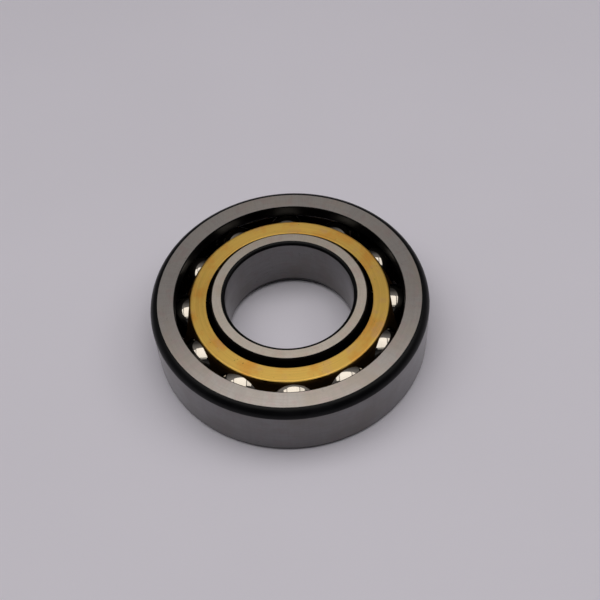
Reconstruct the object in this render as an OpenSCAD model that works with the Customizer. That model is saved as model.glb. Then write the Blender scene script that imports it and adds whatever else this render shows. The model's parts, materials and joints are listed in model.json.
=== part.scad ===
/* [Boundary dimensions] */
// Bore diameter of the inner ring
bore_d = 60; // [56:1:64]
// Outside diameter of the outer ring
outside_d = 130; // [126:1:140]
// Width of both rings, face to face
width = 31; // [30:1:36]

/* [Balls] */
// Number of balls
ball_count = 12; // [8:1:12]
// Diameter of one ball
ball_d = 22.225; // [21:0.025:22.5]
// Diameter of the circle through the ball centres
pitch_d = 95; // [94:0.5:96]
// Angle between the line of contact and the plane of the balls
contact_angle = 40; // [30:1:42]

/* [Raceways] */
// Groove radius of the outer ring, as a share of the ball diameter
outer_conformity = 0.53; // [0.52:0.005:0.54]
// Groove radius of the inner ring, as a share of the ball diameter
inner_conformity = 0.52; // [0.515:0.005:0.54]
// Clearance between a ball and each raceway along the line of contact
raceway_gap = 0.08; // [0.05:0.01:0.15]
// Depth of the outer groove below its high shoulder
outer_shoulder = 5.43; // [4.5:0.01:5.8]
// Depth of the inner groove below its high shoulder
inner_shoulder = 7.48; // [6.5:0.01:8]
// Depth of each groove below the low shoulder that the balls snap over
snap_depth = 0.28; // [0.2:0.01:0.5]
// Radial flare of the outer ring's open side, from the groove to the front face
relief_flare = 0.45; // [0.3:0.01:0.8]

/* [Ring corners] */
// Back face, outside corner of the outer ring: width across the face
back_corner_face = 3.57; // [2.5:0.01:4]
// Back face, outside corner of the outer ring: width along the side
back_corner_side = 4.16; // [2.5:0.01:5]
// Front face, outside corner of the outer ring: width across the face
front_corner_face = 1.5; // [1.1:0.01:2]
// Front face, outside corner of the outer ring: width along the side
front_corner_side = 1.9; // [1.1:0.01:2.5]
// Bore corner on the inner ring's narrow face: width across the face
bore_top_face = 1.59; // [1.1:0.01:2]
// Bore corner on the inner ring's narrow face: width along the bore
bore_top_side = 1.5; // [1.1:0.01:2]
// Bore corner on the inner ring's wide face: width across the face
bore_bottom_face = 3.57; // [2.5:0.01:4]
// Bore corner on the inner ring's wide face: width along the bore
bore_bottom_side = 4.16; // [2.5:0.01:5]
// Small chamfer where a face meets a shoulder of the outer ring
outer_edge = 0.35; // [0.2:0.01:0.6]
// Small chamfer where a face meets a shoulder of the inner ring
inner_edge = 0.5; // [0.2:0.01:0.8]

/* [Cage] */
// Radial thickness of the cage
cage_wall = 7.2; // [6:0.1:7.4]
// How far each end of the cage leans away from the pitch circle
cage_lean = 5; // [4.5:0.1:5.2]
// How far each end of the cage lies inside the ring faces
cage_inset = 3.1; // [2.5:0.1:3.3]
// Bevel on the outside of the cage's narrow end, the same width both ways
cage_bevel = 1.3; // [0.6:0.1:1.6]
// Clearance between a ball and the seat of its pocket
seat_gap = 0.24; // [0.15:0.01:0.3]
// Clearance between a ball and the open mouth of its pocket
mouth_gap = 0.19; // [0.1:0.01:0.25]
// Chamfer on the cage's edges
cage_edge = 0.35; // [0.2:0.01:0.5]

/* [Hidden] */
$fn = 180;
BALL_NAMES = [for (i = [1 : ball_count]) str("ball_", i < 10 ? "0" : "", i)];

bore_r = bore_d / 2;
outside_r = outside_d / 2;
ball_r = ball_d / 2;
pitch_r = pitch_d / 2;
ball_z = width / 2;
ball_centre = [pitch_r, ball_z];
line_of_contact = [cos(contact_angle), sin(contact_angle)];

// The faces are ground after the corners are turned, so each corner's arc ends a little crisp:
// at the shorter side it meets the ground surface at this angle
CORNER_CRISP = 6;
// How far a cutting shape reaches past what it cuts
OVERCUT = 1;

// Each groove's arc touches the ball at the far end of the line of contact.
outer_groove_r = outer_conformity * ball_d;
outer_groove = ball_centre - (outer_groove_r - ball_r - raceway_gap) * line_of_contact;
outer_groove_bottom = outer_groove.x + outer_groove_r;
outer_high_r = outer_groove_bottom - outer_shoulder;
outer_low_r = outer_groove_bottom - snap_depth;
outer_mouth_r = outer_low_r + relief_flare;

inner_groove_r = inner_conformity * ball_d;
inner_groove = ball_centre + (inner_groove_r - ball_r - raceway_gap) * line_of_contact;
inner_groove_bottom = inner_groove.x - inner_groove_r;
inner_high_r = inner_groove_bottom + inner_shoulder;
inner_low_r = inner_groove_bottom + snap_depth;

// Centre of the arc of the given radius from a to b, on the left of the way from a to b
function arc_centre(a, b, radius) =
    let (chord = b - a, reach = sqrt(radius * radius - chord * chord / 4) / norm(chord))
    (a + b) / 2 + reach * [-chord.y, chord.x];

// What is turned away at a ring's corner, from a point on the face to a point on the side.
// left says on which side of the way from face to side the metal lies.
module corner_cut(face, side, left) {
    legs = [abs(side.x - face.x), abs(side.y - face.y)];
    half_arc = atan(min(legs) / max(legs)) - CORNER_CRISP;
    radius = norm(legs) / 2 / sin(half_arc);
    centre = left ? arc_centre(face, side, radius) : arc_centre(side, face, radius);
    past = [side.x + sign(side.x - face.x) * OVERCUT, face.y + sign(face.y - side.y) * OVERCUT];
    difference() {
        polygon([centre, [past.x, side.y], past, [face.x, past.y]]);
        translate(centre) circle(r = radius);
    }
}

module outer_section() {
    difference() {
        polygon([
            [outer_mouth_r + outer_edge, 0],
            [outside_r, 0],
            [outside_r, width],
            [outer_high_r + outer_edge, width],
            [outer_high_r, width - outer_edge],
            [outer_high_r, outer_groove.y],
            [outer_low_r, outer_groove.y],
            [outer_mouth_r, outer_edge],
        ]);
        translate(outer_groove) circle(r = outer_groove_r);
        corner_cut(
            [outside_r - back_corner_face, width],
            [outside_r, width - back_corner_side],
            false
        );
        corner_cut([outside_r - front_corner_face, 0], [outside_r, front_corner_side], true);
    }
}

module inner_section() {
    difference() {
        polygon([
            [bore_r, 0],
            [inner_high_r - inner_edge, 0],
            [inner_high_r, inner_edge],
            [inner_high_r, inner_groove.y],
            [inner_low_r, inner_groove.y],
            [inner_low_r, width - inner_edge],
            [inner_low_r - inner_edge, width],
            [bore_r, width],
        ]);
        translate(inner_groove) circle(r = inner_groove_r);
        corner_cut([bore_r + bore_top_face, width], [bore_r, width - bore_top_side], true);
        corner_cut([bore_r + bore_bottom_face, 0], [bore_r, bore_bottom_side], false);
    }
}

// The cage's wall leans in at the top and out at the bottom. Each end's faces are cage_wall wide;
// the bevel makes the wall between them a little thicker on the outside.
cage_top = width - cage_inset;
cage_top_r = pitch_r - cage_lean;
cage_bottom_r = pitch_r + cage_lean;

// Radius at height z of the straight line through two points [radius, height]
function line_r(a, b, z) = a.x + (b.x - a.x) * (z - a.y) / (b.y - a.y);

module cage_section() {
    half = cage_wall / 2;
    inner_bottom = [cage_bottom_r - half, cage_inset];
    inner_top = [cage_top_r - half, cage_top];
    outer_bottom = [cage_bottom_r + half, cage_inset];
    bevel_bottom = [cage_top_r + half + cage_bevel, cage_top - cage_bevel];
    low = cage_inset + cage_edge;
    high = cage_top - cage_edge;
    polygon([
        inner_bottom + [cage_edge, 0],
        outer_bottom - [cage_edge, 0],
        [line_r(outer_bottom, bevel_bottom, low), low],
        bevel_bottom,
        [cage_top_r + half, cage_top],
        inner_top + [cage_edge, 0],
        [line_r(inner_bottom, inner_top, high), high],
        [line_r(inner_bottom, inner_top, low), low],
    ]);
}

// Carries a shape from the axis to the centre of the given ball, its X axis pointing outwards
module at_ball(i) {
    rotate([0, 0, 360 * (i - 1) / ball_count])
        translate([pitch_r, 0, ball_z])
            children();
}

// A spherical seat that keeps the ball from falling inwards, open to the outside
module pocket() {
    sphere(r = ball_r + seat_gap);
    rotate([0, 90, 0]) cylinder(r = ball_r + mouth_gap, h = ball_r + cage_wall);
}

module outer_ring() {
    color("#8e8b89") rotate_extrude() outer_section();
}

module inner_ring() {
    color("#a89f95") rotate_extrude() inner_section();
}

module cage() {
    color("#bd9a4b") difference() {
        rotate_extrude() cage_section();
        for (i = [1 : ball_count])
            at_ball(i) pocket();
    }
}

module ball(i) {
    color("#d8d6d2") at_ball(i) sphere(r = ball_r);
}

outer_ring();
inner_ring();
cage();
for (i = [1 : ball_count])
    ball(i);
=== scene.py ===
import json
import math

import bpy
from mathutils import Matrix, Vector

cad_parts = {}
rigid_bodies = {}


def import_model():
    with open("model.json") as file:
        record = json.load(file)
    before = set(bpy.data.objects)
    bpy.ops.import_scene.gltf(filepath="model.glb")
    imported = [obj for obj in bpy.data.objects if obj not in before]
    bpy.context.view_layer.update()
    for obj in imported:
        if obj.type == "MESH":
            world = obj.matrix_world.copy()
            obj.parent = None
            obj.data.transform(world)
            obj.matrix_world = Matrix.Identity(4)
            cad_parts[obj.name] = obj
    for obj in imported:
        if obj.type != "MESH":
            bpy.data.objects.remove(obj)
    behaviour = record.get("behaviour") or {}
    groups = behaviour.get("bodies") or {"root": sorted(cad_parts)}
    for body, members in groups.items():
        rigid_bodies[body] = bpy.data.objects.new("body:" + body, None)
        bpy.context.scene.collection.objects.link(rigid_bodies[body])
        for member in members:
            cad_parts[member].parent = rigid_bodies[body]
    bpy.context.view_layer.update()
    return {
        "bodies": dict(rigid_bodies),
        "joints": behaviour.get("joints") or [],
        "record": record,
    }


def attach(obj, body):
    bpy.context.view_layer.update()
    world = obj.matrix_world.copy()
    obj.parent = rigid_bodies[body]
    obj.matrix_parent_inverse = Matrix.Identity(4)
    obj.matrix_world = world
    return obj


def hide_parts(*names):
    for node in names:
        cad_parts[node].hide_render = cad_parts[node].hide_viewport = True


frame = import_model()

bl_info = {
    "name": "Angular contact bearing",
    "version": (1, 0, 0),
    "blender": (4, 5, 0),
    "location": "View3D > Sidebar > Bearing",
    "description": "Turned rings, machined cage and polished balls, built round the packed frame",
    "category": "Add Mesh",
}

MM = 0.001
MOUNTS = {mount["name"]: mount for mount in frame["record"]["mounts"]}
JOINTS = {joint["name"]: joint for joint in frame["joints"]}
BALLS = sorted(body for body in frame["bodies"] if body.startswith("ball_"))
FIRST_BALL = JOINTS[BALLS[0] + "_spin"]

# Overhead panels: name, then left, right, front and back edges, all in ceiling heights from the
# bearing's axis, and the panel's share of the full brightness
PANELS = (
    ("panel_middle", -0.52, 0.48, -0.46, 0.42, 1.0),
    ("panel_left", -0.96, -0.58, -0.28, 0.36, 0.95),
    ("panel_right", 0.56, 1.20, -0.28, 0.48, 0.8),
    ("panel_front", -0.40, 0.40, -0.64, -0.46, 0.3),
)

# The room's tone, by how far back a direction points: from straight in front (0) through
# overhead (0.5) to straight behind (1)
ROOM_STOPS = (
    (0.0, (0.24, 0.24, 0.25, 1.0)),
    (0.12, (0.18, 0.18, 0.19, 1.0)),
    (0.22, (0.04, 0.04, 0.045, 1.0)),
    (0.3, (0.03, 0.03, 0.035, 1.0)),
    (0.5, (0.6, 0.58, 0.6, 1.0)),
    (0.7, (0.9, 0.88, 0.9, 1.0)),
    (0.82, (0.5, 0.49, 0.5, 1.0)),
    (0.9, (0.15, 0.145, 0.15, 1.0)),
    (1.0, (0.1, 0.1, 0.1, 1.0)),
)

# Points of a piece that are closer together than this are one
MERGE_DISTANCE = 2e-6

# Where the face grinder's wheel stood on its two passes, and how many strokes it left per metre
WHEEL_PLACES = ((0.11, 0.05, 0.0), (-0.11, 0.05, 0.0))
STROKES_PER_METRE = 2600.0

# The finishes of a ring's surfaces, as the numbers that its strips carry
GROUND_FACE, GROUND_SIDE, BLACKENED, RACEWAY = range(4)


# ---------------------------------------------------------------- properties


def length(name, description, default, low=0.0):
    return bpy.props.FloatProperty(
        name=name, description=description, default=default, min=low, unit="LENGTH"
    )


def colour(name, description, default):
    return bpy.props.FloatVectorProperty(
        name=name, description=description, default=default, size=3, min=0, max=1, subtype="COLOR"
    )


def share(name, description, default):
    return bpy.props.FloatProperty(
        name=name, description=description, default=default, min=0, max=1, subtype="FACTOR"
    )


def count(name, description, default, low=3):
    return bpy.props.IntProperty(name=name, description=description, default=default, min=low)


class BearingRings(bpy.types.PropertyGroup):
    """Sizes of the two rings."""

    bore: length("Bore radius", "Radius of the inner ring's bore", MOUNTS["bore"]["dims"]["r_mm"] * MM)
    outside: length(
        "Outside radius", "Radius of the outer ring", MOUNTS["outside_diameter"]["dims"]["r_mm"] * MM
    )
    width: length("Width", "Width of both rings", MOUNTS["outer_back_face"]["pos_m"][2])
    outer_conformity: share("Outer conformity", "Outer groove radius over ball diameter", 0.53)
    inner_conformity: share("Inner conformity", "Inner groove radius over ball diameter", 0.52)
    gap: length("Raceway gap", "Clearance between a ball and each raceway", 0.08 * MM)
    outer_shoulder: length("Outer shoulder", "Depth of the outer groove below its shoulder", 5.43 * MM)
    inner_shoulder: length("Inner shoulder", "Depth of the inner groove below its shoulder", 7.48 * MM)
    snap: length("Snap depth", "Depth of each groove below its low shoulder", 0.28 * MM)
    flare: length("Relief flare", "Flare of the outer ring's open side", 0.45 * MM)
    back_face: length("Back corner, face", "Back corner's width across the face", 3.57 * MM)
    back_side: length("Back corner, side", "Back corner's width along the side", 4.16 * MM)
    front_face: length("Front corner, face", "Front corner's width across the face", 1.5 * MM)
    front_side: length("Front corner, side", "Front corner's width along the side", 1.9 * MM)
    bore_top_face: length("Top bore corner, face", "Width across the narrow face", 1.59 * MM)
    bore_top_side: length("Top bore corner, side", "Width along the bore", 1.5 * MM)
    bore_bottom_face: length("Bottom bore corner, face", "Width across the wide face", 3.57 * MM)
    bore_bottom_side: length("Bottom bore corner, side", "Width along the bore", 4.16 * MM)
    outer_edge: length("Outer chamfer", "Chamfer between face and shoulder", 0.35 * MM)
    inner_edge: length("Inner chamfer", "Chamfer between face and shoulder", 0.5 * MM)
    crisp: bpy.props.FloatProperty(
        name="Corner crispness",
        description="Angle at which a corner's arc meets the ground surface",
        default=math.radians(6),
        unit="ROTATION",
    )
    broken: length("Broken edge", "Size of the small round on every edge", 0.12 * MM)
    segments: count("Segments", "Steps round a ring", 240)


class BearingRollers(bpy.types.PropertyGroup):
    """Sizes of the balls and the cage."""

    pitch: length("Pitch radius", "Radius of the circle of balls", FIRST_BALL["pos_m"][0])
    height: length("Ball height", "Height of the ball centres", FIRST_BALL["pos_m"][2])
    contact: bpy.props.FloatProperty(
        name="Contact angle",
        description="Angle between the line of contact and the plane of the balls",
        default=math.atan2(-FIRST_BALL["axis"][0], FIRST_BALL["axis"][2]),
        unit="ROTATION",
    )
    ball: length("Ball radius", "Radius of one ball", 22.225 * MM / 2)
    ball_steps: count("Ball steps", "Steps along one side of a ball's six patches", 33)
    wall: length("Cage wall", "Radial thickness of the cage", 7.2 * MM)
    lean: length("Cage lean", "How far each end leans from the pitch circle", 5 * MM)
    inset: length("Cage inset", "How far each end lies inside the ring faces", 3.1 * MM)
    bevel: length("Cage bevel", "Bevel on the outside of the narrow end", 1.3 * MM)
    blend: length("Bevel blend", "How softly the bevel runs into the wall below it", 0.3 * MM)
    seat: length("Seat gap", "Clearance between a ball and its seat", 0.24 * MM)
    mouth: length("Mouth gap", "Clearance between a ball and the pocket's mouth", 0.19 * MM)
    edge: length("Cage edge", "Size of the round on the cage's ends", 0.35 * MM)
    rim: length("Pocket edge", "Size of the round on a pocket's rims", 0.22 * MM)
    bay_steps: count("Bay steps", "Steps along half a side of a bay", 12)


class BearingFinishes(bpy.types.PropertyGroup):
    """Colours of the finishes."""

    outer_face: colour("Outer ring faces", "Ground faces of the outer ring", (0.66, 0.61, 0.57))
    inner_face: colour("Inner ring faces", "Ground faces of the inner ring", (0.73, 0.66, 0.575))
    # Painted shade: the bore and outside, the same ground steel as the faces, are painted far darker
    side: colour("Bore and outside", "Ground bore and outside diameter", (0.140, 0.136, 0.137))
    stain: colour("Oil stain", "Film of old oil, as a share of the steel's colour", (0.86, 0.80, 0.72))
    black: colour("Blackened steel", "Turned corners and shoulders after hardening", (0.002, 0.002, 0.0025))
    raceway: colour("Raceway", "Polished grooves", (0.34, 0.33, 0.32))
    brass: colour("Brass", "Freshly turned brass", (0.84, 0.55, 0.13))
    brass_warm: colour("Warm brass", "Tarnished patches of the brass", (0.82, 0.42, 0.085))
    brass_pink: colour("Pink brass", "Patches that have lost some zinc", (0.76, 0.44, 0.20))
    # Painted shade: a dark brown that stands in for the shade on the cage's walls and pockets
    brass_wall_shade: colour("Cage walls", "Oily brass of the cage's walls and pockets", (0.22, 0.115, 0.03))
    ball: colour("Ball steel", "Mirror-polished balls", (0.52, 0.475, 0.41))
    floor: colour("Floor", "Pale table top", (0.86, 0.835, 0.925))


class BearingStage(bpy.types.PropertyGroup):
    """The camera, the lights and the floor."""

    camera: bpy.props.FloatVectorProperty(
        name="Camera", description="Where the camera stands", default=(0.01093, -0.29796, 0.42419),
        subtype="TRANSLATION", unit="LENGTH",
    )
    heading: bpy.props.FloatProperty(
        name="Heading", description="Turn of the camera about the vertical",
        default=math.radians(1.17), unit="ROTATION",
    )
    pitch: bpy.props.FloatProperty(
        name="Pitch", description="How far the camera looks down", default=math.radians(53.23),
        unit="ROTATION",
    )
    roll: bpy.props.FloatProperty(
        name="Roll", description="Turn of the camera about its own line of sight",
        default=math.radians(-4.18), unit="ROTATION",
    )
    lens: bpy.props.FloatProperty(
        name="Lens", description="Focal length", default=63.9, min=1, unit="CAMERA"
    )
    ceiling: length("Ceiling", "Height of the soft overhead panels", 1.2)
    panel_light: bpy.props.FloatProperty(
        name="Panel light", description="Brightness of the overhead panels", default=1.55, min=0
    )
    panel_tone: colour("Panel tone", "Colour of the overhead panels", (1.0, 0.975, 0.945))
    room: bpy.props.FloatProperty(
        name="Room light", description="Strength of the light from all round", default=0.3, min=0
    )
    floor_size: length("Floor size", "Side of the table top", 4.0)


# ------------------------------------------------------------- node building


class Value:
    """A node's output that takes part in arithmetic: each operator adds a Math node."""

    def __init__(self, graph, socket):
        self.graph = graph
        self.socket = socket

    def out(self, name):
        """Another output of the same node."""
        return Value(self.graph, self.socket.node.outputs[name])

    def math(self, operation, *others):
        sockets = dict(enumerate((self, *others)))
        return self.graph.node("ShaderNodeMath", {"operation": operation}, sockets)

    def __add__(self, other):
        return self.math("ADD", other)

    def __sub__(self, other):
        return self.math("SUBTRACT", other)

    def __rsub__(self, other):
        return self.graph.node("ShaderNodeMath", {"operation": "SUBTRACT"}, {0: other, 1: self})

    def __mul__(self, other):
        return self.math("MULTIPLY", other)

    def __truediv__(self, other):
        return self.math("DIVIDE", other)

    __radd__ = __add__
    __rmul__ = __mul__


class Graph:
    """Adds nodes to a node tree."""

    def __init__(self, tree):
        self.tree = tree

    def node(self, kind, settings=None, sockets=None):
        """A new node's first output: its settings are set first, then its sockets' values or links."""
        made = self.tree.nodes.new(kind)
        for name, value in (settings or {}).items():
            if name == "stops":
                set_stops(made.color_ramp, value)
            else:
                setattr(made, name, value)
        for name, value in (sockets or {}).items():
            if isinstance(value, Value):
                self.tree.links.new(value.socket, made.inputs[name])
            else:
                made.inputs[name].default_value = value
        return Value(self, made.outputs[0]) if len(made.outputs) else made

    def mix(self, factor, first, second):
        """first turning into second as factor goes from 0 to 1, both colours."""
        made = self.node("ShaderNodeMix", {"data_type": "RGBA"}, {0: factor, 6: first, 7: second})
        return made.out(2)

    def ramp(self, factor, low, high):
        """0 where factor is below low, 1 above high, and smooth between."""
        return self.node(
            "ShaderNodeMapRange",
            {"interpolation_type": "SMOOTHSTEP"},
            {"Value": factor, "From Min": low, "From Max": high, "To Min": 0.0, "To Max": 1.0},
        )


def set_stops(color_ramp, stops):
    while len(color_ramp.elements) < len(stops):
        color_ramp.elements.new(1.0)
    for element, (place, tone) in zip(color_ramp.elements, stops):
        element.position = place
        element.color = tone


def opaque(tone):
    return (*tone, 1.0)


# ------------------------------------------------------------------ finishes


class Turned(Graph):
    """A material's nodes, with the coordinates of a piece that was turned or ground on its axis:
    radius and height in millimetres, and the two parts of the direction away from the axis."""

    def __init__(self, name):
        self.material = bpy.data.materials.new(name)
        self.material.use_nodes = True
        super().__init__(self.material.node_tree)
        self.shader = self.tree.nodes["Principled BSDF"]
        self.place = self.node("ShaderNodeTexCoord").out("Object")
        axes = self.node("ShaderNodeSeparateXYZ", sockets={"Vector": self.place})
        x, y = axes.out("X"), axes.out("Y")
        radius = (x * x + y * y).math("SQRT")
        self.east, self.north = x / radius, y / radius
        self.radius = radius * (1 / MM)
        self.height = axes.out("Z") * (1 / MM)

    def lines(self, around, across, detail=2.0, roughness=0.5, seed=0.0):
        """Noise drawn out along the turning direction, without a seam.
        around is its frequency round the axis, across the lines per millimetre over the surface."""
        vector = self.node(
            "ShaderNodeCombineXYZ",
            sockets={"X": self.east * around, "Y": self.north * around, "Z": self.radius * across},
        )
        return self.node(
            "ShaderNodeTexNoise",
            {"noise_dimensions": "4D"},
            {
                "Vector": vector,
                "W": self.height * across + seed,
                "Scale": 1.0,
                "Detail": detail,
                "Roughness": roughness,
            },
        )

    def patches(self, per_metre, detail=3.0, roughness=0.55, seed=0.0):
        """Even noise over the surface."""
        return self.node(
            "ShaderNodeTexNoise",
            {"noise_dimensions": "4D"},
            {
                "Vector": self.place,
                "W": seed,
                "Scale": per_metre,
                "Detail": detail,
                "Roughness": roughness,
            },
        )

    def set(self, **sockets):
        """Sets or links sockets of the shader; an underscore stands for a space in a name."""
        for name, value in sockets.items():
            socket = self.shader.inputs[name.replace("_", " ")]
            if isinstance(value, Value):
                self.tree.links.new(value.socket, socket)
            else:
                socket.default_value = value
        return self.material

    def relief(self, height, depth):
        """Normal of a surface that rises by depth metres as height goes from 0 to 1."""
        return self.node("ShaderNodeBump", sockets={"Height": height, "Distance": depth, "Strength": 1.0})


def shade(tone, factor):
    """A colour times a factor, which is one number or one for each channel."""
    factors = factor if hasattr(factor, "__len__") else [factor] * 3
    return opaque([channel * part for channel, part in zip(tone, factors)])


def drawn_out(amount):
    """Gloss drawn out across the tool's lines, which run round the axis."""
    return {"Anisotropic": amount, "Anisotropic_Rotation": 0.25}


def ground_steel(name, steel, stain, roughness, arcs, **gloss):
    """Fine ground steel with a thin film of old oil.
    arcs is the share of the long crossing strokes that a face grinder leaves."""
    g = Turned(name)
    fine = g.lines(5.0, 5.0, detail=3.0)
    broad = g.lines(3.0, 0.8, detail=2.0, seed=4.0)
    rays = g.lines(46.0, 0.06, detail=3.0, seed=11.0)
    film = g.patches(48.0, detail=4.0, seed=2.0)
    bloom = g.patches(230.0, detail=3.0, seed=12.0)
    spots = g.patches(420.0, detail=2.0, seed=9.0)
    lay = fine * 0.65 + broad * 0.35
    if arcs:
        lay = lay * (1 - arcs) + crossing_strokes(g) * arcs
    tone = g.mix(g.ramp(film, 0.42, 0.66) * 0.9, opaque(steel), shade(steel, stain))
    tone = g.mix(g.ramp(bloom, 0.48, 0.66) * 0.6, tone, shade(steel, (0.97, 0.84, 0.84)))
    tone = g.mix(g.ramp(rays, 0.46, 0.68) * 0.25, tone, shade(steel, 0.76))
    tone = g.mix(g.ramp(lay, 0.4, 0.66) * 0.4, tone, shade(steel, 0.66))
    tone = g.mix(g.ramp(spots, 0.66, 0.74) * 0.35, tone, shade(steel, (0.42, 0.38, 0.34)))
    return g.set(
        Base_Color=tone,
        Metallic=1.0,
        Roughness=roughness + lay * 0.12 + g.ramp(film, 0.4, 0.7) * 0.05,
        Normal=g.relief(lay, 0.004 * MM),
        **gloss,
    )


def outer_face(tones):
    return ground_steel("outer_face", tones.outer_face, tones.stain, 0.25, 0.3, **drawn_out(0.4))


def inner_face(tones):
    return ground_steel("inner_face", tones.inner_face, tones.stain, 0.35, 0.35)


def ground_side(tones):
    """Ground bore and outside diameter, with a film of oil that shines at a glance. Their steel
    colour is painted far darker than the faces': painted shade for the ring's sides.
    """
    oil = {"Coat_Weight": 0.5, "Coat_Roughness": 0.12}
    return ground_steel("ground_side", tones.side, tones.stain, 0.25, 0.0, **drawn_out(0.3), **oil)


def crossing_strokes(g):
    """Two sets of long shallow arcs, as a cup wheel leaves on a flat face."""
    passes = []
    for place, seed in zip(WHEEL_PLACES, (1.0, 7.0)):
        way = g.node("ShaderNodeVectorMath", {"operation": "SUBTRACT"}, {0: g.place, 1: place})
        reach = g.node("ShaderNodeVectorMath", {"operation": "LENGTH"}, {0: way}).out("Value")
        strokes = {"W": reach * STROKES_PER_METRE + seed, "Scale": 1.0, "Detail": 2.0}
        passes.append(g.node("ShaderNodeTexNoise", {"noise_dimensions": "1D"}, strokes))
    return (passes[0] + passes[1]) * 0.5


def blackened_steel(tones):
    """Turned steel, black from hardening, with shallow tool marks."""
    g = Turned("blackened_steel")
    marks = g.lines(1.6, 3.4, detail=2.0)
    bloom = g.patches(85.0, detail=4.0, seed=5.0)
    tone = g.mix(g.ramp(bloom, 0.45, 0.75) * 0.6, opaque(tones.black), shade(tones.black, 2.6))
    return g.set(
        Base_Color=tone,
        Metallic=0.0,
        Roughness=0.26 + marks * 0.12 + g.ramp(bloom, 0.4, 0.7) * 0.08,
        Specular_IOR_Level=0.14,
        Normal=g.relief(marks, 0.006 * MM),
    )


def polished_raceway(tones):
    """Honed groove with hair-fine running marks."""
    g = Turned("polished_raceway")
    marks = g.lines(2.0, 7.0, detail=3.0)
    track = g.patches(60.0, seed=3.0)
    tone = g.mix(g.ramp(marks, 0.4, 0.75) * 0.2, opaque(tones.raceway), shade(tones.raceway, 0.7))
    return g.set(
        Base_Color=tone,
        Metallic=1.0,
        Roughness=0.09 + marks * 0.06 + g.ramp(track, 0.45, 0.7) * 0.04,
        Normal=g.relief(marks, 0.0008 * MM),
    )


def turned_brass(tones):
    """Machined brass: feed marks of the tool, warm tarnish and a few dark specks. Between the
    cage's two end faces, the walls and pockets are painted dark brown: painted shade."""
    g = Turned("turned_brass")
    feed = g.lines(1.2, 4.6, detail=2.0)
    band = g.lines(2.2, 0.7, detail=2.0, seed=6.0)
    blotch = g.patches(75.0, detail=4.0, roughness=0.6, seed=1.0)
    blush = g.patches(110.0, detail=3.0, seed=14.0)
    specks = g.patches(800.0, detail=1.0, seed=8.0)
    tone = g.mix(g.ramp(blotch, 0.46, 0.66), opaque(tones.brass), opaque(tones.brass_warm))
    tone = g.mix(g.ramp(blush, 0.54, 0.7) * 0.7, tone, opaque(tones.brass_pink))
    tone = g.mix(g.ramp(feed, 0.42, 0.66) * 0.3, tone, shade(tones.brass, 0.66))
    tone = g.mix(g.ramp(specks, 0.71, 0.77) * 0.5, tone, shade(tones.brass, 0.2))
    rollers = bpy.context.scene.bearing_rollers
    low, high = rollers.inset / MM, (2 * rollers.height - rollers.inset) / MM
    # Painted shade: between the end faces, the cage's walls and pockets are painted dark brown
    walls = g.ramp(g.height, low + 0.1, low + 0.8) * (1.0 - g.ramp(g.height, high - 0.75, high - 0.1))
    return g.set(
        Base_Color=g.mix(walls, tone, opaque(tones.brass_wall_shade)),
        Metallic=1.0,
        Roughness=0.42 + feed * 0.1 + g.ramp(band, 0.4, 0.7) * 0.06 - walls * 0.16,
        Normal=g.relief(feed * 0.8 + band * 0.2, 0.012 * MM),
        **drawn_out(0.35),
    )


def mirror_steel(tones):
    """Lapped ball steel: a near mirror with a breath of oil."""
    g = Turned("mirror_steel")
    film = g.patches(140.0, detail=4.0, seed=3.0)
    specks = g.patches(1500.0, detail=1.0, seed=7.0)
    tone = g.mix(g.ramp(film, 0.45, 0.7) * 0.35, opaque(tones.ball), shade(tones.ball, 0.8))
    tone = g.mix(g.ramp(specks, 0.72, 0.78) * 0.5, tone, shade(tones.ball, 0.35))
    return g.set(
        Base_Color=tone,
        Metallic=1.0,
        Roughness=0.04 + g.ramp(film, 0.4, 0.75) * 0.06,
        Normal=g.relief(film, 0.02 * MM),
    )


def floor_paint(tones):
    """Pale matt table top with the faintest mottling."""
    g = Turned("floor_paint")
    cloud = g.patches(6.0, detail=3.0)
    grain = g.patches(700.0, detail=2.0, seed=4.0)
    tone = g.mix(g.ramp(cloud, 0.35, 0.7) * 0.25, opaque(tones.floor), shade(tones.floor, 0.93))
    return g.set(Base_Color=tone, Roughness=0.62 + grain * 0.1, Normal=g.relief(grain, 0.02 * MM))


# --------------------------------------------------------- outlines of rings


def arc_centre(a, b, radius):
    """Centre of the arc from a to b that lies on the right of the way from a to b."""
    chord = b - a
    reach = math.sqrt(radius * radius - chord.length_squared / 4) / chord.length
    return (a + b) / 2 + reach * Vector((chord.y, -chord.x))


def corner_centre(a, b, crisp):
    """Centre of a turned corner's arc, which meets its shorter side at the crisp angle."""
    across, along = sorted((abs(b.x - a.x), abs(b.y - a.y)))
    half_arc = math.atan(across / along) - crisp
    return arc_centre(a, b, (b - a).length / 2 / math.sin(half_arc))


def crossing(centre, radius, at_radius, side):
    """Where a groove's circle crosses a cylinder: above its centre for side 1, below for -1."""
    reach = math.sqrt(radius**2 - (at_radius - centre.x) ** 2)
    return Vector((at_radius, centre.y + side * reach))


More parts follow.
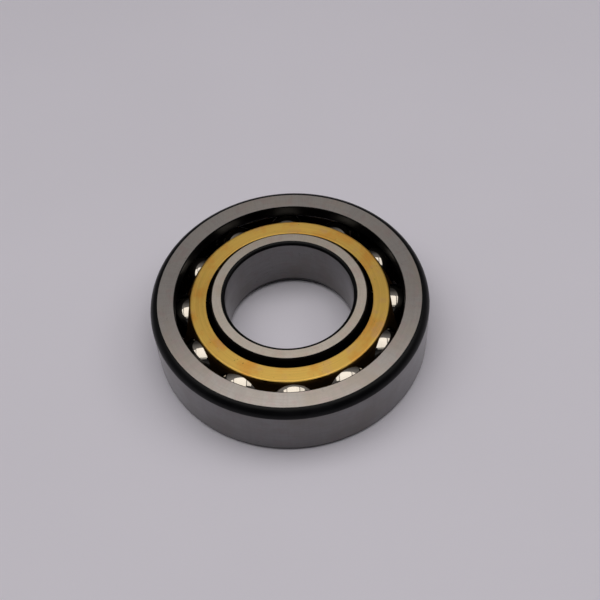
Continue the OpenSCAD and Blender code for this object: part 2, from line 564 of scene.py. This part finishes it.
def outer_corners(rings, rollers):
    """The outer ring's section, clockwise from the top face's inner corner:
    (corner, finish of the surface after it, centre of that surface's arc or None)."""
    line = Vector((math.cos(rollers.contact), math.sin(rollers.contact)))
    radius = rings.outer_conformity * 2 * rollers.ball
    groove = Vector((rollers.pitch, rollers.height)) - (radius - rollers.ball - rings.gap) * line
    bottom = groove.x + radius
    high, low = bottom - rings.outer_shoulder, bottom - rings.snap
    mouth = low + rings.flare
    edge, top = rings.outer_edge, rings.width
    back = Vector((rings.outside - rings.back_face, top)), Vector((rings.outside, top - rings.back_side))
    front = Vector((rings.outside, rings.front_side)), Vector((rings.outside - rings.front_face, 0))
    relief = Vector((low, groove.y)), Vector((mouth, edge))
    return [
        (Vector((high + edge, top)), GROUND_FACE, None),
        (back[0], BLACKENED, corner_centre(*back, rings.crisp)),
        (back[1], GROUND_SIDE, None),
        (front[0], BLACKENED, corner_centre(*front, rings.crisp)),
        (front[1], GROUND_FACE, None),
        (Vector((mouth + edge, 0)), BLACKENED, None),
        (relief[1], BLACKENED, None),
        (line_meets_circle(*relief, groove, radius), RACEWAY, groove),
        (crossing(groove, radius, high, 1), BLACKENED, None),
        (Vector((high, top - edge)), BLACKENED, None),
    ]


def line_meets_circle(a, b, centre, radius):
    """Where the way from a, inside a circle, to b leaves the circle."""
    way = (b - a).normalized()
    middle = (centre - a).dot(way)
    gap = (centre - a).length_squared - middle**2
    return a + way * (middle + math.sqrt(radius**2 - gap))


def inner_corners(rings, rollers):
    """The inner ring's section, in the same form, clockwise from the top face's bore corner."""
    line = Vector((math.cos(rollers.contact), math.sin(rollers.contact)))
    radius = rings.inner_conformity * 2 * rollers.ball
    groove = Vector((rollers.pitch, rollers.height)) + (radius - rollers.ball - rings.gap) * line
    bottom = groove.x - radius
    high, low = bottom + rings.inner_shoulder, bottom + rings.snap
    edge, top = rings.inner_edge, rings.width
    upper = (
        Vector((rings.bore, top - rings.bore_top_side)),
        Vector((rings.bore + rings.bore_top_face, top)),
    )
    lower = (
        Vector((rings.bore + rings.bore_bottom_face, 0)),
        Vector((rings.bore, rings.bore_bottom_side)),
    )
    return [
        (upper[1], GROUND_FACE, None),
        (Vector((low - edge, top)), BLACKENED, None),
        (Vector((low, top - edge)), BLACKENED, None),
        (crossing(groove, radius, low, 1), RACEWAY, groove),
        (crossing(groove, radius, high, -1), BLACKENED, None),
        (Vector((high, edge)), BLACKENED, None),
        (Vector((high - edge, 0)), GROUND_FACE, None),
        (lower[0], BLACKENED, corner_centre(*lower, rings.crisp)),
        (lower[1], GROUND_SIDE, None),
        (upper[0], BLACKENED, corner_centre(*upper, rings.crisp)),
    ]


class Stretch:
    """One surface of a section: a straight or round way from a to b."""

    STEP = math.radians(4)

    def __init__(self, a, b, centre):
        self.a, self.b, self.centre = a, b, centre
        self.length = (b - a).length
        if centre:
            self.radius = (a - centre).length
            self.start = math.atan2(a.y - centre.y, a.x - centre.x)
            end = math.atan2(b.y - centre.y, b.x - centre.x)
            self.turn = (end - self.start + math.pi) % (2 * math.pi) - math.pi
            self.length = self.radius * abs(self.turn)

    def at(self, distance):
        part = distance / self.length
        if not self.centre:
            return self.a.lerp(self.b, part)
        angle = self.start + self.turn * part
        return self.centre + self.radius * Vector((math.cos(angle), math.sin(angle)))

    def points(self, trim):
        """Points from trim after a to trim before b, the last two at each end close together,
        so that smooth shading stays flat up to the edge."""
        low, high = trim, self.length - trim
        inner = min(trim, (high - low) / 4)
        steps = max(1, math.ceil(abs(self.turn) / self.STEP)) if self.centre else 1
        between = [
            low + inner + (high - low - 2 * inner) * step / steps for step in range(steps + 1)
        ]
        return [self.at(distance) for distance in (low, *between, high)]


def rounded(a, corner, b, steps=4):
    """Points of the small round from a to b under their corner."""
    return [
        (1 - t) ** 2 * a + 2 * t * (1 - t) * corner + t**2 * b
        for t in (step / steps for step in range(steps + 1))
    ]


def strips(corners, broken):
    """(finish, points) for each surface of a section and for the round between each two."""
    ways = [
        Stretch(corner, following[0], centre)
        for (corner, _, centre), following in zip(corners, corners[1:] + corners[:1])
    ]
    made = [(finish, way.points(broken)) for (_, finish, _), way in zip(corners, ways)]
    for index, (corner, finish, _) in enumerate(corners):
        before = made[index - 1] if index else made[len(corners) - 1]
        edge_finish = BLACKENED if BLACKENED in (finish, before[0]) else finish
        made.append((edge_finish, rounded(before[1][-1], corner, made[index][1][0])))
    return made


# ---------------------------------------------------------- geometry by rule


def new_tree(name, inputs):
    """A geometry tree with the named inputs, and its graph and the group's input node."""
    tree = bpy.data.node_groups.new(name, "GeometryNodeTree")
    tree.interface.new_socket("Geometry", in_out="INPUT", socket_type="NodeSocketGeometry")
    tree.interface.new_socket("Geometry", in_out="OUTPUT", socket_type="NodeSocketGeometry")
    for label, kind in inputs:
        tree.interface.new_socket(label, in_out="INPUT", socket_type=kind)
    graph = Graph(tree)
    return graph, graph.node("NodeGroupInput")


def end_tree(graph, geometry, finishes):
    """Ends a tree in Realize Instances and one Set Material for each (material, selection)."""
    geometry = graph.node("GeometryNodeRealizeInstances", sockets={0: geometry})
    for material, selection in finishes:
        geometry = graph.node(
            "GeometryNodeSetMaterial",
            sockets={"Geometry": geometry, "Selection": selection, "Material": material},
        )
    graph.node("NodeGroupOutput", sockets={0: geometry})
    return graph.tree


def turning_tree():
    """Sweeps the strips of a section round the axis and gives each its finish."""
    graph, given = new_tree(
        "turned_ring",
        [
            ("Radius", "NodeSocketFloat"),
            ("Segments", "NodeSocketInt"),
            ("Ground Face", "NodeSocketMaterial"),
            ("Ground Side", "NodeSocketMaterial"),
            ("Blackened", "NodeSocketMaterial"),
            ("Raceway", "NodeSocketMaterial"),
        ],
    )
    section = graph.node("GeometryNodeMeshToCurve", sockets={"Mesh": given.out("Geometry")})
    circle = graph.node(
        "GeometryNodeCurvePrimitiveCircle",
        sockets={"Resolution": given.out("Segments"), "Radius": given.out("Radius")},
    )
    swept = graph.node("GeometryNodeCurveToMesh", sockets={"Curve": circle, "Profile Curve": section})
    finish = graph.node("GeometryNodeInputNamedAttribute", {"data_type": "FLOAT"}, {"Name": "finish"})
    kept = graph.node(
        "GeometryNodeStoreNamedAttribute",
        {"data_type": "FLOAT", "domain": "FACE"},
        {"Geometry": swept, "Name": "face_finish", "Value": finish},
    )
    closed = graph.node(
        "GeometryNodeMergeByDistance", sockets={"Geometry": kept, "Distance": MERGE_DISTANCE}
    )
    smooth = graph.node("GeometryNodeSetShadeSmooth", sockets={"Geometry": closed})
    face_finish = graph.node(
        "GeometryNodeInputNamedAttribute", {"data_type": "FLOAT"}, {"Name": "face_finish"}
    )
    finishes = [
        (given.out(label), face_finish.math("COMPARE", float(number), 0.25))
        for number, label in enumerate(("Ground Face", "Ground Side", "Blackened", "Raceway"))
    ]
    return end_tree(graph, smooth, finishes)


def bay_tree():
    """Repeats one bay of the cage round the axis and joins the bays into one body."""
    graph, given = new_tree(
        "cage_of_bays", [("Count", "NodeSocketInt"), ("Material", "NodeSocketMaterial")]
    )
    places = graph.node("GeometryNodePoints", sockets={"Count": given.out("Count")})
    index = graph.node("GeometryNodeInputIndex")
    angle = index * math.tau / given.out("Count")
    turn = graph.node("ShaderNodeCombineXYZ", sockets={"Z": angle})
    bays = graph.node(
        "GeometryNodeInstanceOnPoints",
        sockets={
            "Points": places,
            "Instance": given.out("Geometry"),
            "Rotation": graph.node("FunctionNodeEulerToRotation", sockets={0: turn}),
        },
    )
    solid = graph.node("GeometryNodeRealizeInstances", sockets={0: bays})
    joined = graph.node(
        "GeometryNodeMergeByDistance", sockets={"Geometry": solid, "Distance": MERGE_DISTANCE}
    )
    smooth = graph.node("GeometryNodeSetShadeSmooth", sockets={"Geometry": joined})
    return end_tree(graph, smooth, [(given.out("Material"), True)])


def ball_tree():
    """One ball of the row: a cube's even grid blown up to a sphere, at its place round the axis."""
    graph, given = new_tree(
        "ball_of_row",
        [
            ("Ball Radius", "NodeSocketFloat"),
            ("Pitch Radius", "NodeSocketFloat"),
            ("Height", "NodeSocketFloat"),
            ("Steps", "NodeSocketInt"),
            ("Number", "NodeSocketInt"),
            ("Count", "NodeSocketInt"),
            ("Material", "NodeSocketMaterial"),
        ],
    )
    steps = given.out("Steps")
    cube = graph.node(
        "GeometryNodeMeshCube", sockets={"Vertices X": steps, "Vertices Y": steps, "Vertices Z": steps}
    )
    place = graph.node("GeometryNodeInputPosition")
    outwards = graph.node("ShaderNodeVectorMath", {"operation": "NORMALIZE"}, {0: place})
    ball = graph.node(
        "ShaderNodeVectorMath", {"operation": "SCALE"}, {0: outwards, "Scale": given.out("Ball Radius")}
    )
    angle = given.out("Number") * math.tau / given.out("Count")
    centre = graph.node(
        "ShaderNodeCombineXYZ",
        sockets={
            "X": angle.math("COSINE") * given.out("Pitch Radius"),
            "Y": angle.math("SINE") * given.out("Pitch Radius"),
            "Z": given.out("Height"),
        },
    )
    moved = graph.node("ShaderNodeVectorMath", {"operation": "ADD"}, {0: ball, 1: centre})
    sphere = graph.node("GeometryNodeSetPosition", sockets={"Geometry": cube, "Position": moved})
    smooth = graph.node("GeometryNodeSetShadeSmooth", sockets={"Geometry": sphere})
    return end_tree(graph, smooth, [(given.out("Material"), True)])


def grow(name, tree, seed_mesh, values):
    """The plain piece that a geometry tree makes from a seed mesh and its named inputs."""
    seed = bpy.data.objects.new(name + "_seed", seed_mesh)
    bpy.context.scene.collection.objects.link(seed)
    modifier = seed.modifiers.new(name, "NODES")
    modifier.node_group = tree
    labels = {
        item.name: item.identifier for item in tree.interface.items_tree if item.in_out == "INPUT"
    }
    for label, value in values.items():
        modifier[labels[label]] = value
    evaluated = seed.evaluated_get(bpy.context.evaluated_depsgraph_get())
    mesh = bpy.data.meshes.new_from_object(evaluated)
    mesh.name = name
    for attribute in [a.name for a in mesh.attributes if a.name in ("finish", "face_finish")]:
        mesh.attributes.remove(mesh.attributes[attribute])
    piece = bpy.data.objects.new(name, mesh)
    bpy.context.scene.collection.objects.link(piece)
    seed.modifiers.remove(modifier)
    bpy.data.objects.remove(seed)
    return piece


def section_mesh(name, made, radius):
    """Every strip of a section as a loose line, as the sweep wants it: outwards, then down."""
    points, lines, finishes = [], [], []
    for finish, strip in made:
        first = len(points)
        points += [(point.x - radius, -point.y, 0.0) for point in strip]
        lines += [(first + step, first + step + 1) for step in range(len(strip) - 1)]
        finishes += [float(finish)] * len(strip)
    mesh = bpy.data.meshes.new(name)
    mesh.from_pydata(points, lines, [])
    mesh.attributes.new("finish", "FLOAT", "POINT").data.foreach_set("value", finishes)
    return mesh


# ---------------------------------------------------------- bay of the cage


class Bay:
    """One bay of the cage: the leaning wall round one pocket, half-way to its neighbours."""

    # Rings of faces from a bay's border to its pocket, steps through the pocket's wall,
    # and rounds of the search for the pocket's rim
    RINGS = 8
    WALL = 9
    SEARCH = 30

    def __init__(self, rollers, count):
        self.size = rollers
        self.half_turn = math.pi / count
        self.base = rollers.inset
        self.top = 2 * rollers.height - rollers.inset
        self.side = rollers.bay_steps
        self.around = 8 * self.side

    def wall_radius(self, side, z):
        """Radius of the cage's outer (side 1) or inner (side -1) surface at height z.
        The outside starts with a bevel at the top, which blends into the leaning wall."""
        size = self.size
        bottom, top = size.pitch + size.lean, size.pitch - size.lean
        middle = side * size.wall / 2
        if side < 0:
            return middle + bottom + (top - bottom) * (z - self.base) / (self.top - self.base)
        end = self.top - size.bevel
        wall = middle + bottom + (top + size.bevel - bottom) * (z - self.base) / (end - self.base)
        bevel = middle + top + self.top - z
        return (wall + bevel - math.hypot(wall - bevel, size.blend)) / 2

    def pocket_radius(self, x):
        """Radius of the pocket about its own axis, at distance x from the bearing's axis:
        a spherical seat that opens into a straight mouth."""
        size = self.size
        seat, mouth = size.ball + size.seat, size.ball + size.mouth
        if x > size.pitch + math.sqrt(seat**2 - mouth**2):
            return mouth
        return math.sqrt(seat**2 - (x - size.pitch) ** 2)

    def on_wall(self, side, angle, reach):
        """Point of a surface at the given reach from the pocket's axis, in the direction angle."""
        y, rise = reach * math.cos(angle), reach * math.sin(angle)
        z = self.size.height + rise
        return Vector((math.sqrt(self.wall_radius(side, z) ** 2 - y * y), y, z))

    def in_pocket(self, angle, x):
        """Point of the pocket's wall in the direction angle, at distance x from the axis."""
        reach = self.pocket_radius(x)
        return Vector((x, reach * math.cos(angle), self.size.height + reach * math.sin(angle)))

    def rim_reach(self, side, angle):
        """How far from the pocket's axis its wall meets a surface."""
        reach = self.size.ball
        for _ in range(self.SEARCH):
            reach = self.pocket_radius(self.on_wall(side, angle, reach).x)
        return reach

    def border(self, side, number):
        """Point number of a bay's border on a surface: four sides, evenly divided,
        numbered anticlockwise as the pocket's directions are."""
        low, high = self.base + self.size.edge, self.top - self.size.edge
        half_height = (high - low) / 2
        place = (number + self.side) % self.around
        quarter, step = divmod(place, 2 * self.side)
        part = step / self.side - 1
        turn, rise = ((1, part), (-part, 1), (-1, -part), (part, -1))[quarter]
        z = self.size.height + rise * half_height
        radius, angle = self.wall_radius(side, z), turn * self.half_turn
        return Vector((radius * math.cos(angle), radius * math.sin(angle), z))

    def between(self, side, a, b, part):
        """Point of a surface part of the way from a to b."""
        z = a.z + (b.z - a.z) * part
        start, end = math.atan2(a.y, a.x), math.atan2(b.y, b.x)
        angle, radius = start + (end - start) * part, self.wall_radius(side, z)
        return Vector((radius * math.cos(angle), radius * math.sin(angle), z))

    def spoke(self, number):
        """Points from the border on the outside, through the pocket, to the border inside."""
        angle = math.tau * number / self.around
        rim = self.size.rim
        halves = []
        for side in (1, -1):
            reach = self.rim_reach(side, angle)
            corner = self.on_wall(side, angle, reach)
            lip = self.on_wall(side, angle, reach + rim)
            throat = self.in_pocket(angle, corner.x - side * rim)
            border = self.border(side, number)
            flat = [self.between(side, border, lip, step / self.RINGS) for step in range(self.RINGS)]
            halves.append((flat + rounded(lip, corner, throat), throat.x))
        (outer, start), (inner, end) = halves
        wall = [
            self.in_pocket(angle, start + (end - start) * step / self.WALL)
            for step in range(1, self.WALL)
        ]
        return outer + wall + inner[::-1]

    def end_section(self, sign):
        """(radius, height) across the top end (sign 1) or the bottom end (sign -1), outside in."""
        face = self.top if sign > 0 else self.base
        edge = self.size.edge
        lines = []
        for side in (1, -1):
            shoulder = Vector((self.wall_radius(side, face - sign * edge), face - sign * edge))
            corner = Vector((self.wall_radius(side, face), face))
            land = corner - Vector((side * edge, 0))
            inside = land - Vector((side * edge, 0))
            lines.append(rounded(shoulder, corner, land) + [inside])
        return lines[0] + lines[1][::-1]

    def mesh(self, name):
        points, faces = [], []

        def grid(rows, closed):
            first, width = len(points), len(rows[0])
            for row in rows:
                points.extend(row)
            for row in range(len(rows) - 1):
                for column in range(width if closed else width - 1):
                    a = first + row * width + column
                    b = first + row * width + (column + 1) % width
                    faces.append((a, a + width, b + width, b))

        spokes = [self.spoke(number) for number in range(self.around)]
        grid(list(zip(*spokes)), True)
        for sign in (1, -1):
            turns = [
                sign * self.half_turn * (1 - step / self.side) for step in range(2 * self.side + 1)
            ]
            rows = [
                [Vector((p.x * math.cos(turn), p.x * math.sin(turn), p.y)) for turn in turns]
                for p in self.end_section(sign)
            ]
            grid(rows, False)
        mesh = bpy.data.meshes.new(name)
        mesh.from_pydata(points, [], faces)
        return mesh


# ----------------------------------------------------------------- operators


FINISHES = {
    maker.__name__: maker
    for maker in (
        outer_face,
        inner_face,
        ground_side,
        blackened_steel,
        polished_raceway,
        turned_brass,
        mirror_steel,
        floor_paint,
    )
}


def finish(name):
    """A material by name, made once for all the pieces that wear it."""
    if name not in bpy.data.materials:
        FINISHES[name](bpy.context.scene.bearing_finishes)
    return bpy.data.materials[name]


def make_ring(name, node, corners, face):
    """A ring turned from its section, standing for its CAD node."""
    scene = bpy.context.scene
    radius = scene.bearing_rollers.pitch
    made = strips(corners, scene.bearing_rings.broken)
    values = {
        "Radius": radius,
        "Segments": scene.bearing_rings.segments,
        "Ground Face": finish(face),
        "Ground Side": finish("ground_side"),
        "Blackened": finish("blackened_steel"),
        "Raceway": finish("polished_raceway"),
    }
    tree = bpy.data.node_groups.get("turned_ring") or turning_tree()
    piece = grow(name, tree, section_mesh(name + "_section", made, radius), values)
    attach(piece, node)
    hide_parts(node)


class BEARING_OT_outer_ring(bpy.types.Operator):
    """Turn the outer ring"""

    bl_idname = "bearing.outer_ring"
    bl_label = "Outer ring"

    def execute(self, context):
        scene = context.scene
        corners = outer_corners(scene.bearing_rings, scene.bearing_rollers)
        make_ring("outer_ring_turned", "outer_ring", corners, "outer_face")
        return {"FINISHED"}


class BEARING_OT_inner_ring(bpy.types.Operator):
    """Turn the inner ring"""

    bl_idname = "bearing.inner_ring"
    bl_label = "Inner ring"

    def execute(self, context):
        scene = context.scene
        corners = inner_corners(scene.bearing_rings, scene.bearing_rollers)
        make_ring("inner_ring_turned", "inner_ring", corners, "inner_face")
        return {"FINISHED"}


class BEARING_OT_cage(bpy.types.Operator):
    """Machine the cage: one bay, repeated for every ball"""

    bl_idname = "bearing.cage"
    bl_label = "Cage"

    def execute(self, context):
        bay = Bay(context.scene.bearing_rollers, len(BALLS)).mesh("cage_bay")
        values = {"Count": len(BALLS), "Material": finish("turned_brass")}
        piece = grow("cage_machined", bay_tree(), bay, values)
        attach(piece, "cage")
        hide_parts("cage")
        return {"FINISHED"}


class BEARING_OT_balls(bpy.types.Operator):
    """Lap the balls, one piece for each body"""

    bl_idname = "bearing.balls"
    bl_label = "Balls"

    def execute(self, context):
        rollers = context.scene.bearing_rollers
        tree = ball_tree()
        for number, body in enumerate(BALLS):
            values = {
                "Ball Radius": rollers.ball,
                "Pitch Radius": rollers.pitch,
                "Height": rollers.height,
                "Steps": rollers.ball_steps,
                "Number": number,
                "Count": len(BALLS),
                "Material": finish("mirror_steel"),
            }
            piece = grow(body + "_lapped", tree, bpy.data.meshes.new(body + "_seed"), values)
            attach(piece, body)
            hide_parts(body)
        return {"FINISHED"}


class BEARING_OT_stage(bpy.types.Operator):
    """Set the floor, the lights and the camera"""

    bl_idname = "bearing.stage"
    bl_label = "Stage"

    def execute(self, context):
        scene, stage = context.scene, context.scene.bearing_stage
        scene.view_settings.view_transform = "Standard"
        add_camera(scene, stage)
        add_floor(scene, stage)
        add_panels(scene, stage)
        add_room(scene, stage)
        return {"FINISHED"}


def add_camera(scene, stage):
    camera = bpy.data.cameras.new("camera")
    camera.lens = stage.lens
    camera.clip_start = 0.01
    holder = bpy.data.objects.new("camera", camera)
    turned = (
        Matrix.Rotation(stage.heading, 4, "Z")
        @ Matrix.Rotation(math.pi / 2 - stage.pitch, 4, "X")
        @ Matrix.Rotation(stage.roll, 4, "Z")
    )
    holder.matrix_world = Matrix.Translation(stage.camera) @ turned
    scene.collection.objects.link(holder)
    scene.camera = holder


def add_floor(scene, stage):
    half = stage.floor_size / 2
    mesh = bpy.data.meshes.new("floor")
    corners = [(-half, -half, 0), (half, -half, 0), (half, half, 0), (-half, half, 0)]
    mesh.from_pydata(corners, [], [(0, 1, 2, 3)])
    mesh.materials.append(finish("floor_paint"))
    floor = bpy.data.objects.new("floor", mesh)
    scene.collection.objects.link(floor)


def add_panels(scene, stage):
    """Soft panels side by side overhead, with narrow dark gaps between them."""
    for name, left, right, front, back, brightness in PANELS:
        light = bpy.data.lights.new(name, "AREA")
        light.shape = "RECTANGLE"
        light.size = (right - left) * stage.ceiling
        light.size_y = (back - front) * stage.ceiling
        light.color = stage.panel_tone
        light.energy = math.pi * light.size * light.size_y * stage.panel_light * brightness
        holder = bpy.data.objects.new(name, light)
        middle = Vector(((left + right) / 2, (front + back) / 2, 1.0))
        holder.location = middle * stage.ceiling
        scene.collection.objects.link(holder)


def add_room(scene, stage):
    """Dim light from all round: a dark room in front, a paler wall behind."""
    world = bpy.data.worlds.new("room")
    world.use_nodes = True
    scene.world = world
    graph = Graph(world.node_tree)
    way = graph.node("ShaderNodeTexCoord").out("Generated")
    axes = graph.node("ShaderNodeSeparateXYZ", sockets={"Vector": way})
    behind = axes.out("Y") * 0.5 + 0.5
    tone = graph.node("ShaderNodeValToRGB", {"stops": ROOM_STOPS}, {"Fac": behind})
    background = world.node_tree.nodes["Background"]
    world.node_tree.links.new(tone.socket, background.inputs["Color"])
    background.inputs["Strength"].default_value = stage.room


class BEARING_PT_panel(bpy.types.Panel):
    """The pieces of the bearing and the sizes and colours that they are made from"""

    bl_idname = "BEARING_PT_panel"
    bl_label = "Angular contact bearing"
    bl_space_type = "VIEW_3D"
    bl_region_type = "UI"
    bl_category = "Bearing"

    def draw(self, context):
        for operator in OPERATORS:
            self.layout.operator(operator.bl_idname)
        for group, stored in GROUPS.items():
            owner = getattr(context.scene, stored)
            box = self.layout.box()
            for name in group.__annotations__:
                box.prop(owner, name)


OPERATORS = (
    BEARING_OT_stage,
    BEARING_OT_outer_ring,
    BEARING_OT_inner_ring,
    BEARING_OT_cage,
    BEARING_OT_balls,
)
GROUPS = {
    BearingRings: "bearing_rings",
    BearingRollers: "bearing_rollers",
    BearingFinishes: "bearing_finishes",
    BearingStage: "bearing_stage",
}


def register():
    for kind in (*GROUPS, *OPERATORS, BEARING_PT_panel):
        bpy.utils.register_class(kind)
    for kind, name in GROUPS.items():
        setattr(bpy.types.Scene, name, bpy.props.PointerProperty(type=kind))


def unregister():
    for name in GROUPS.values():
        delattr(bpy.types.Scene, name)
    for kind in (BEARING_PT_panel, *reversed(OPERATORS), *reversed(tuple(GROUPS))):
        bpy.utils.unregister_class(kind)


def main():
    register()
    bpy.ops.bearing.stage()
    bpy.ops.bearing.outer_ring()
    bpy.ops.bearing.inner_ring()
    bpy.ops.bearing.cage()
    bpy.ops.bearing.balls()


if __name__ == "__main__":
    main()
